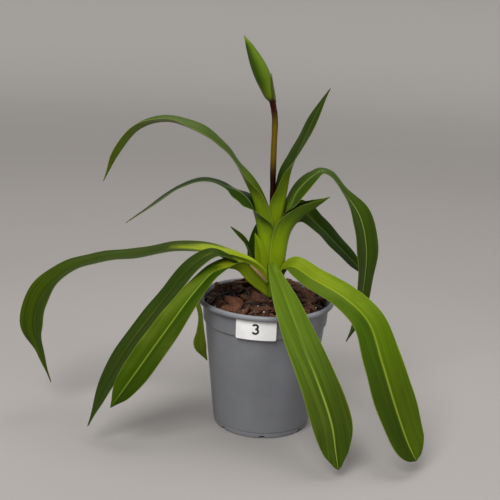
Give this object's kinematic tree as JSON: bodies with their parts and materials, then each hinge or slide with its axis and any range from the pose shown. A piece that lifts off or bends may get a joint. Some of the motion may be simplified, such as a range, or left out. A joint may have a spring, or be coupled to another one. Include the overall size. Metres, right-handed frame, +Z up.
{
  "type": "potted phragmipedium orchid",
  "caption": "Slipper orchid in a nursery pot of bark: a fan of folded strap leaves that arch and hang round the pot, and one upright flower stem with a closed bud.",
  "frame": {"origin": "middle of the footprint of the whole plant and pot, on the surface that the pot stands on", "axes": "+Z up, along the pot's axis; +X to the right along the fan of leaves, as seen in the picture; +Y away from the viewer"},
  "size_m": [0.3806, 0.1852, 0.3668],
  "materials": {
    "pot_plastic": "matt moulded grey",
    "label_card": "smooth white card",
    "bark": "rough, dry, reddish brown",
    "crown": "fibrous, olive brown",
    "flower_stem": "satin maroon",
    "flower_bud": "satin green",
    "bract": "satin olive",
    "leaf_bright": "glossy yellow-green",
    "leaf_green": "glossy mid green",
    "leaf_dark": "glossy dark green",
    "dry_sheath": "dry, papery, pinkish brown"
  },
  "bodies": {
    "root": {"pot": "pot_plastic", "label": "label_card", "bark": "bark", "crown": "crown", "flower_stem": "flower_stem", "flower_bud": "flower_bud", "bud_bract": "bract", "leaf_upright": "leaf_bright", "leaf_upper_left": "leaf_bright", "leaf_right_arching": "leaf_green", "leaf_left": "leaf_dark", "leaf_right_short": "leaf_bright", "leaf_back_right": "leaf_dark", "leaf_small_twisted": "leaf_dark", "leaf_left_long": "leaf_green", "leaf_left_outer": "leaf_dark", "leaf_left_front": "leaf_green", "leaf_front": "leaf_green", "leaf_right_front": "leaf_bright", "leaf_back_left": "leaf_green", "sheath_short": "leaf_bright", "sheath_dry": "dry_sheath"}
  },
  "joints": []
}
